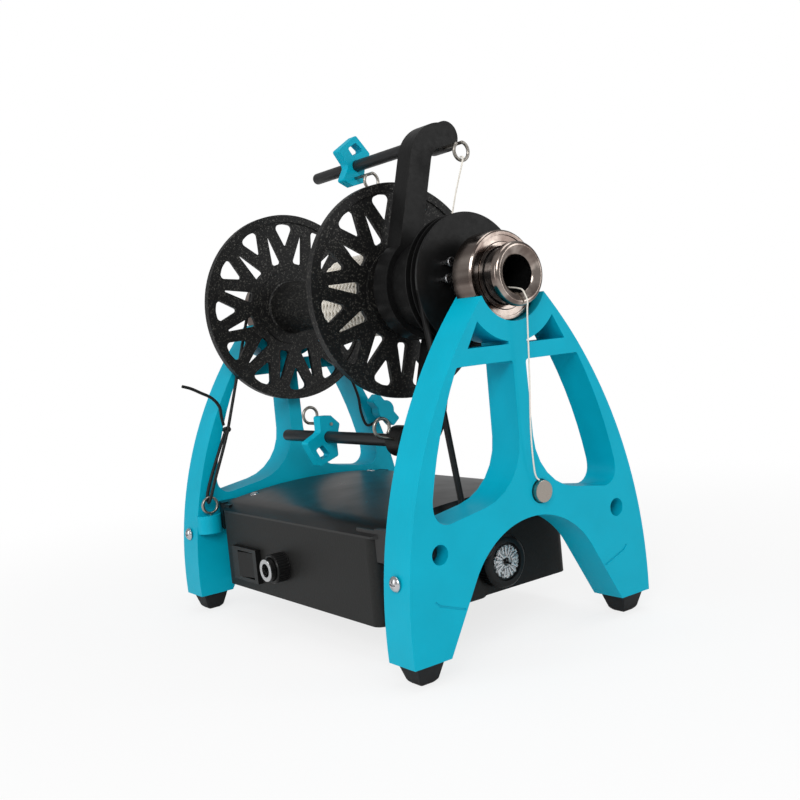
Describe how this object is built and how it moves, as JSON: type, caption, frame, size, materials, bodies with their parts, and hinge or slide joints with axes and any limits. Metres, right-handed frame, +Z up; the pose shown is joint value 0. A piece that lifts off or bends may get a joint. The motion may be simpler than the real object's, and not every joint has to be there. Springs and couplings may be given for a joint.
{
  "type": "electric yarn spinner",
  "caption": "Bench-top electric yarn spinner: A-shaped uprights on a control box carry a belt-driven flyer with sliding yarn guides, a braked bobbin, a speed knob and a power switch.",
  "frame": {"origin": "centre of the stand's outline at the level of the table, under the feet", "axes": "+Z up, -Y towards the orifice and the spinner's user, +X to the user's right, spindle along Y"},
  "size_m": [0.1175, 0.1759, 0.2031],
  "materials": {
    "teal_plastic": "printed, satin",
    "black_plastic": "fine textured",
    "black_gloss": "smooth moulded",
    "black_print": "printed, slightly sparkling",
    "black_rubber": "matt",
    "bright_steel": "bright",
    "bearing_steel": "polished, brownish reflections",
    "black_steel": "blackened",
    "cream_yarn": "spun wool",
    "black_cord": "braided",
    "board_green": "lacquered board",
    "bush_plastic": "turned"
  },
  "bodies": {
    "stand": {"front_upright": "teal_plastic", "rear_upright": "teal_plastic", "rubber_feet": "black_rubber", "cap_screws": "black_steel", "leg_screws": "bright_steel", "box_shell": "black_plastic", "box_lid": "black_gloss", "lid_screws": "bright_steel", "switch_bezel": "black_gloss", "jack_barrel": "black_gloss", "jack_nut": "black_plastic", "jack_contact": "bright_steel", "speed_board": "board_green", "potentiometer": "bright_steel", "motor_can": "bright_steel", "motor_screws": "bright_steel", "drive_belt": "black_rubber", "front_outer_race": "bearing_steel", "front_balls": "bright_steel", "bearing_shields": "bearing_steel", "rear_outer_race": "bearing_steel", "rear_balls": "bright_steel", "brake_cord": "black_cord", "brake_tail": "black_cord", "screw_eye": "bright_steel", "tension_stud": "bright_steel", "leader_line": "cream_yarn"},
    "flyer": {"front_inner_race": "bearing_steel", "rear_inner_race": "bearing_steel", "rear_hub": "black_plastic", "spindle_rod": "bright_steel", "orifice_tube": "black_gloss", "orifice_ring": "bearing_steel", "flyer_whorl": "black_plastic", "whorl_screws": "bright_steel", "flyer_arms": "black_print", "flyer_rods": "black_steel", "arm_hooks": "bright_steel", "flyer_thread": "cream_yarn"},
    "bobbin": {"bobbin_front_disc": "black_print", "bobbin_rear_disc": "black_print", "bobbin_core": "black_gloss", "bobbin_bushes": "bush_plastic", "yarn_bed": "cream_yarn", "yarn_winding": "cream_yarn"},
    "motor_drive": {"motor_shaft": "bright_steel", "motor_pulley": "black_plastic"},
    "knob": {"pot_shaft": "bright_steel", "speed_knob": "black_plastic", "knob_insert": "bright_steel"},
    "rocker": {"power_rocker": "black_plastic"},
    "upper_clip": {"upper_guide": "teal_plastic", "upper_guide_hook": "bright_steel"},
    "lower_clip": {"lower_guide": "teal_plastic", "lower_guide_hook": "bright_steel"},
    "tensioner": {"tension_knob": "teal_plastic"},
    "magnet": {"parking_magnet": "bright_steel"}
  },
  "joints": [
    {"name": "flyer_spin", "type": "hinge", "parent": "stand", "child": "flyer", "pos_m": [0, -0.074, 0.1325], "axis": [0, 1, 0], "continuous": true},
    {"name": "bobbin_spin", "type": "hinge", "parent": "flyer", "child": "bobbin", "pos_m": [0, 0.02635, 0.1325], "axis": [0, 1, 0], "continuous": true},
    {"name": "motor_spin", "type": "hinge", "parent": "stand", "child": "motor_drive", "pos_m": [-0.0062, -0.05915, 0.0365], "axis": [0, 1, 0], "continuous": true},
    {"name": "upper_clip_slide", "type": "slide", "parent": "flyer", "child": "upper_clip", "axis": [0, 1, 0], "range_m": [-0.034, 0.018]},
    {"name": "lower_clip_slide", "type": "slide", "parent": "flyer", "child": "lower_clip", "axis": [0, 1, 0], "range_m": [-0.038, 0.015]},
    {"name": "speed_turn", "type": "hinge", "parent": "stand", "child": "knob", "pos_m": [0.008, -0.05465, 0.026], "axis": [0, 1, 0], "range_deg": [-150, 150]},
    {"name": "rocker_tilt", "type": "hinge", "parent": "stand", "child": "rocker", "pos_m": [-0.0469, 0.04285, 0.0244], "axis": [0, 0, 1], "range_deg": [-19, 0]},
    {"name": "tension_turn", "type": "hinge", "parent": "stand", "child": "tensioner", "pos_m": [0.046, 0.06655, 0.0785], "axis": [0, 1, 0], "range_deg": [-175, 175]},
    {"name": "magnet_lift", "type": "slide", "parent": "stand", "child": "magnet", "axis": [0, -1, 0], "range_m": [0, 0.012]}
  ],
  "couplings": [
    {"joint": "motor_spin", "follows": "flyer_spin", "ratio": 5.2273}
  ]
}
